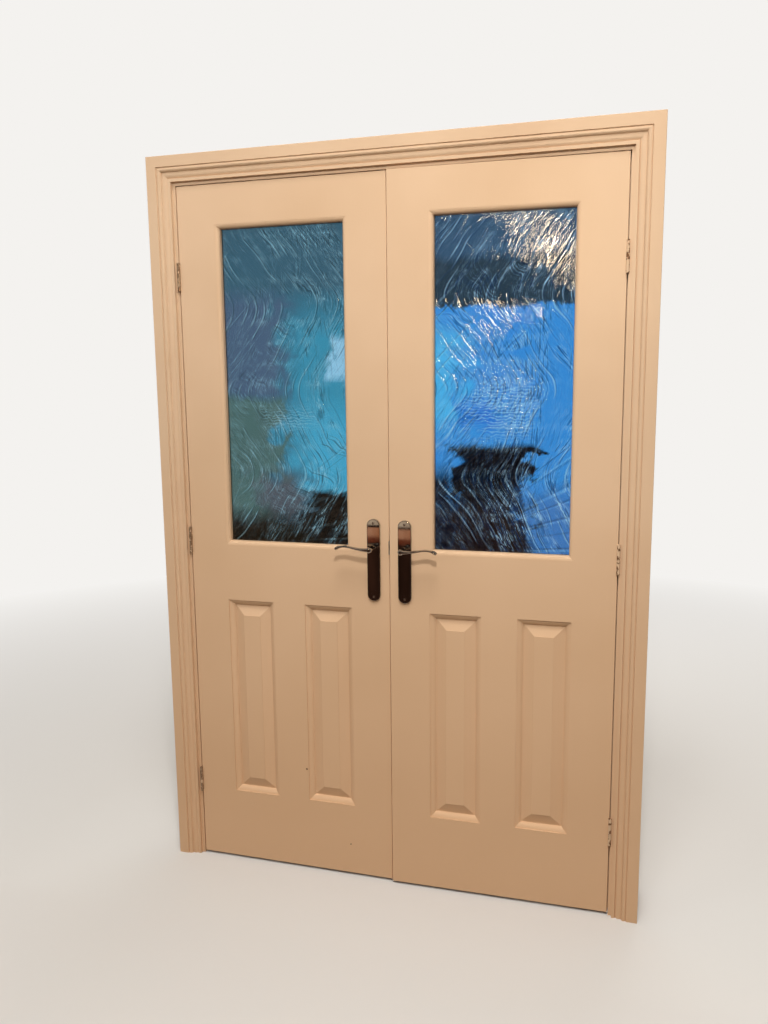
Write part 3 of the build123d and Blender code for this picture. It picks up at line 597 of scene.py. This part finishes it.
def pale_floor(name, colour):
    """A matt floor that turns into the pale background a few metres away, where no shadow falls."""
    material, place = begin(name)
    seen = seen_rays(material)
    grain = add(material, "TexNoise", {"Vector": place, "Scale": 40.0}).outputs["Fac"]
    rough = add(material, "MapRange", {"Value": grain, "To Min": 0.75, "To Max": 0.8})
    base = {0: seen, 6: linear(GIVEN_BACK), 7: linear(colour)}
    base = add(material, "Mix", base, data_type="RGBA").outputs[2]
    matt = {"Base Color": base, "Roughness": rough.outputs["Result"]}
    matt = add(material, "BsdfPrincipled", matt).outputs[0]
    away = add(material, "VectorMath", {0: place}, operation="LENGTH").outputs["Value"]
    far = {"Value": away, "From Min": FADE_FROM, "From Max": FADE_TO}
    far = add(material, "MapRange", far).outputs["Result"]
    share = add(material, "Math", {0: far, 1: seen}, operation="MULTIPLY").outputs[0]
    pale = {"Color": linear(BACKGROUND), "Strength": 1.0}
    pale = add(material, "Emission", pale).outputs[0]
    return end(material, add(material, "MixShader", {0: share, 1: matt, 2: pale}))


def sheet(name, size, place, turn, material):
    """A flat stage piece of the given size, turned and put in its place."""
    mesh = bmesh.new()
    matrix = Matrix.Translation(place) @ turn @ Matrix.Diagonal((size[0], size[1], 1.0, 1.0))
    bmesh.ops.create_grid(mesh, x_segments=1, y_segments=1, size=0.5, matrix=matrix)
    data = bpy.data.meshes.new(name)
    mesh.to_mesh(data)
    mesh.free()
    data.materials.append(material)
    piece = bpy.data.objects.new(name, data)
    bpy.context.scene.collection.objects.link(piece)
    return piece


sheet("floor", (18.0, 18.0), (0.0, 0.0, 0.0), FLAT, pale_floor("pale_floor", "D9D6D1"))
print("the floor turns into the background", FADE_FROM, "to", FADE_TO, "metres from the doors")

# %% [markdown]
# Chrome needs something dark to show, as in any studio: brushed cards stand in front, at the sides,
# overhead and low down, where only mirrors find them. The bands in front give the handle plates
# their pale top, tan band and dark foot. A strip overhead draws a thin highlight along the levers,
# and a small bulb gives the glass its glints.

# %% Cards
CARD_PULL = 0.25  # streaks run up and down a card, so height counts only this much


def brushed_card(name, light, dark, strength):
    """Broad uneven streaks. They look as written in a mirror, whatever the lamps do."""
    material, place = begin(name)
    pulled = add(material, "Mapping", {"Vector": place, "Scale": (1.0, 1.0, CARD_PULL)})
    streak = {"Vector": pulled.outputs["Vector"], "Scale": 9.0, "Detail": 3.0}
    streak = add(material, "TexNoise", streak).outputs["Fac"]
    share = add(material, "MapRange", {"Value": streak, "From Min": 0.35, "From Max": 0.65})
    colour = {0: share.outputs["Result"], 6: linear(dark), 7: linear(light)}
    colour = add(material, "Mix", colour, data_type="RGBA").outputs[2]
    return end(material, add(material, "Emission", {"Color": colour, "Strength": strength}))


def mirror_card(name, size, place, turn, light, dark, strength=1.0):
    """A card that only mirrors see: it gives chrome something dark to show, or a bright spot."""
    piece = sheet(name, size, place, turn, brushed_card(name + "_paint", light, dark, strength))
    piece.visible_camera = False
    piece.visible_diffuse = False
    piece.visible_shadow = False
    piece.visible_transmission = False


print("streaks on a card are", round(1 / CARD_PULL), "times as long as wide")

# %% Put the cards up
SIDEWAYS = Matrix.Rotation(pi / 2, 4, "Y")
BAND_WIDTH, BAND_PLACE = 8.0, -3.0
bands = (  # lower edge, upper edge, light streaks, dark streaks
    (0.0, 0.452, "40281E", "160E0A"),
    (0.452, 0.488, "7C3E28", "5A2A1A"),
    (0.488, 0.55, "D09878", "AA6840"),
    (0.55, 0.566, "1A100C", "120A08"),
    (0.566, 0.72, "DCC8B0", "B49E88"),
    (0.72, 2.6, "2C1C15", "140D0A"),
)
for number, (low_edge, high_edge, light_code, dark_code) in enumerate(bands):
    size = (BAND_WIDTH, high_edge - low_edge)
    middle = (0.0, BAND_PLACE, (low_edge + high_edge) / 2)
    mirror_card("band_" + str(number), size, middle, FACING, light_code, dark_code)
cards = (  # name, size, place, turn, light streaks, dark streaks, strength
    ("low_card", (6.0, 2.6), (0.0, -1.65, 0.004), FLAT, "6A4634", "2C1A12", 1.0),
    ("left_card", (2.6, 2.4), (-3.0, -1.8, 1.3), SIDEWAYS, "3A2419", "1A100C", 1.0),
    ("right_card", (2.6, 2.4), (3.0, -1.8, 1.3), SIDEWAYS, "3A2419", "1A100C", 1.0),
    ("top_card", (6.4, 2.9), (0.0, -1.6, 2.7), FLAT, "5E493C", "2A1D16", 1.0),
    ("strip", (5.0, 0.22), (0.0, -0.9, 2.68), FLAT, "FFF0DE", "F2D8BC", 2.0),
    ("bulb", (0.13, 0.18), (0.39, -1.45, 1.96), FACING, "FFE6C2", "FFD8A4", 64.0),
)
for card in cards:
    mirror_card(*card)
print("stage pieces:", 1 + len(bands) + len(cards))

# %% [markdown]
# ## Light
# The key lamp hangs above and right of the middle and throws the levers' soft shadows. A second
# one, high up and large, lights the tops of the mouldings evenly from head to foot. A weak one
# fills the left side and another lights the back. The rest comes evenly from the world. No lamp
# shows in a mirror or through the glass, because the cards are there for that.

# %% Lamps and world
def lamp(name, place, target, size, power):
    """A soft lamp of a width and height that faces a target and lights matt surfaces only."""
    light = bpy.data.lights.new(name, "AREA")
    light.shape = "RECTANGLE"
    light.size, light.size_y = size
    light.energy = power
    holder = bpy.data.objects.new(name, light)
    holder.location = place
    holder.rotation_euler = (Vector(target) - Vector(place)).to_track_quat("-Z", "Y").to_euler()
    holder.visible_camera = False
    holder.visible_transmission = False
    holder.visible_glossy = False
    bpy.context.scene.collection.objects.link(holder)


lamps = (  # name, place, target, width and height, watts
    ("key", (0.66, -2.1, 2.7), (0.0, 0.0, 1.0), (0.15, 0.18), 34),
    ("painted_slope_shade", (0.6, -2.4, 6.0), (0.0, 0.0, 0.8), (1.6, 1.6), 160),
    ("left_far", (-2.4, -2.6, 2.2), (-0.2, 0.0, 1.0), (1.2, 1.2), 12),
    ("back", (0.4, 3.0, 2.6), (0.0, 0.0, 1.0), (2.4, 2.4), 45),
)
for row in lamps:
    lamp(*row)
world = bpy.data.worlds.new("pale_studio")
world.use_nodes = True
world.node_tree.nodes.clear()
lit = add(world, "Background", {"Color": linear("EADFD2"), "Strength": 0.43}).outputs[0]
pale = add(world, "Background", {"Color": linear(BACKGROUND), "Strength": 1.0}).outputs[0]
both = add(world, "MixShader", {0: seen_rays(world), 1: lit, 2: pale})
add(world, "OutputWorld", {"Surface": both.outputs[0]})
bpy.context.scene.world = world
print("lamps:", [row[0] for row in lamps])

# %% [markdown]
# ## Camera
# The viewer stands about two metres back, right of the doors' middle and at eye height, turned a
# little to the left and looking slightly down.

# %% Camera
lens = bpy.data.cameras.new("camera")
lens.lens = 29.94
lens.sensor_width = 36.0
lens.shift_x = -0.0207
lens.shift_y = 0.0088
camera = bpy.data.objects.new("camera", lens)
camera.location = (0.678, -2.2553, 1.431)
camera.rotation_euler = [radians(angle) for angle in (81.188, 0.389, 15.921)]
bpy.context.scene.collection.objects.link(camera)
bpy.context.scene.camera = camera
bpy.context.scene.view_settings.view_transform = "Standard"
print("camera at", tuple(camera.location))

# %% [markdown]
# ## The end
# The view layer is brought up to date.

# %% The end
bpy.context.view_layer.update()
